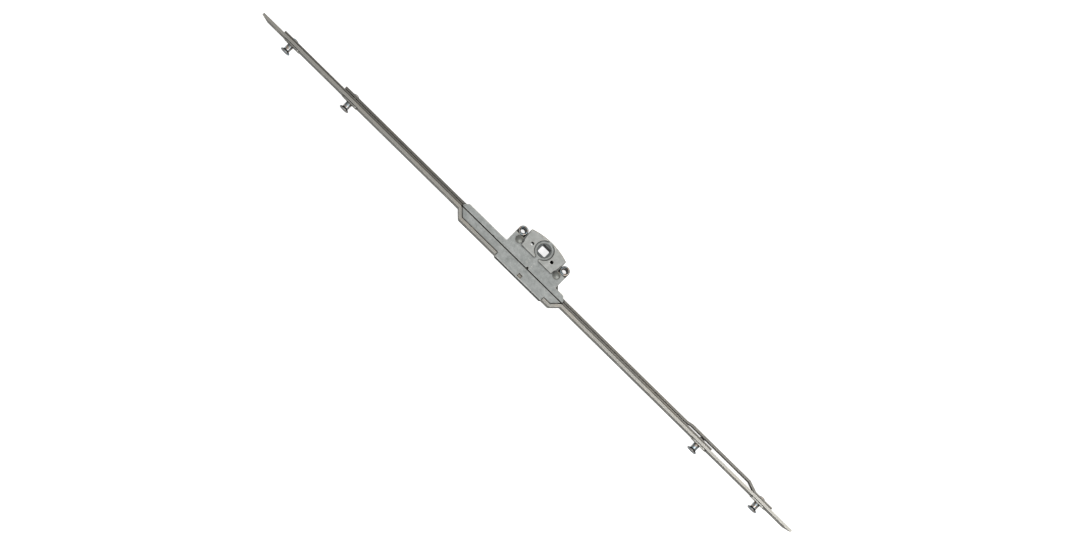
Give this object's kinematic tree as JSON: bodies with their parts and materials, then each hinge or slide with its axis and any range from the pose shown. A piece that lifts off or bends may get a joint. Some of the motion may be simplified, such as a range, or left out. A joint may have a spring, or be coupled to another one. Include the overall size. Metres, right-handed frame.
{
  "type": "espagnolette window lock",
  "caption": "Casement window espagnolette: a faceplate with mushroom rollers on hidden drive rods, moved by a square-spindle gearbox in its middle.",
  "frame": {"origin": "on the spindle's axis, halfway through the faceplate's 16 mm width", "axes": "+X along the faceplate, +Y to the back of the gearbox, +Z along the spindle; the rollers point to -Y"},
  "size_m": [0.5472, 0.0375, 0.016],
  "materials": {
    "plate_steel": "satin zinc-plated rolled steel strip",
    "rod_steel": "satin zinc-plated steel strip",
    "zinc_casting": null,
    "hub_steel": "dark grey machined steel, slightly oily",
    "rivet_steel": "zinc-plated rivet steel",
    "casting_rivet": "matt zinc-plated rivet steel",
    "bright_zinc": "bright zinc-plated turned steel, bluish"
  },
  "bodies": {
    "casing": {"faceplate": "plate_steel", "gear_case": "zinc_casting", "gear_cover": "zinc_casting", "front_case": "zinc_casting", "idler_axle": "hub_steel", "case_rivets": "casting_rivet", "screw_bush_left": "bright_zinc", "screw_bush_right": "bright_zinc", "seam_rivets": "rivet_steel"},
    "spindle": {"spindle_hub": "hub_steel"},
    "idler": {"idler_gear": "hub_steel"},
    "front_rods": {"front_slider": "rod_steel", "front_rod_left": "rod_steel", "front_rod_right": "rod_steel", "front_link_rivets": "rivet_steel", "roller_pin_1": "bright_zinc", "roller_pin_3": "bright_zinc"},
    "rear_rods": {"rear_slider": "rod_steel", "rear_rod_left": "rod_steel", "rear_rod_right": "rod_steel", "rear_link_rivets": "rivet_steel", "roller_pin_2": "bright_zinc", "roller_pin_4": "bright_zinc"},
    "sleeve_1": {"roller_sleeve_1": "bright_zinc"},
    "sleeve_2": {"roller_sleeve_2": "bright_zinc"},
    "sleeve_3": {"roller_sleeve_3": "bright_zinc"},
    "sleeve_4": {"roller_sleeve_4": "bright_zinc"}
  },
  "joints": [
    {"name": "hub_turn", "type": "hinge", "parent": "casing", "child": "spindle", "pos_m": [0, 0, 0], "axis": [0, 0, 1], "range_deg": [-90, 90]},
    {"name": "idler_turn", "type": "hinge", "parent": "casing", "child": "idler", "pos_m": [0, -0.0144, 0], "axis": [0, 0, 1], "range_deg": [-73, 73]},
    {"name": "front_rods_slide", "type": "slide", "parent": "casing", "child": "front_rods", "axis": [1, 0, 0], "range_m": [-0.00452, 0.00452]},
    {"name": "rear_rods_slide", "type": "slide", "parent": "casing", "child": "rear_rods", "axis": [1, 0, 0], "range_m": [-0.0046, 0.0046]},
    {"name": "sleeve_1_turn", "type": "hinge", "parent": "front_rods", "child": "sleeve_1", "pos_m": [-0.2405, -0.0247, 0], "axis": [0, 1, 0], "continuous": true},
    {"name": "sleeve_2_turn", "type": "hinge", "parent": "rear_rods", "child": "sleeve_2", "pos_m": [-0.1795, -0.0247, 0], "axis": [0, 1, 0], "continuous": true},
    {"name": "sleeve_3_turn", "type": "hinge", "parent": "front_rods", "child": "sleeve_3", "pos_m": [0.1814, -0.0247, 0], "axis": [0, 1, 0], "continuous": true},
    {"name": "sleeve_4_turn", "type": "hinge", "parent": "rear_rods", "child": "sleeve_4", "pos_m": [0.2439, -0.0247, 0], "axis": [0, 1, 0], "continuous": true}
  ],
  "couplings": [
    {"joint": "hub_turn", "follows": "front_rods_slide", "rad_per_m": -347.22},
    {"joint": "idler_turn", "follows": "front_rods_slide", "rad_per_m": 277.78},
    {"joint": "rear_rods_slide", "follows": "front_rods_slide", "ratio": -1}
  ]
}
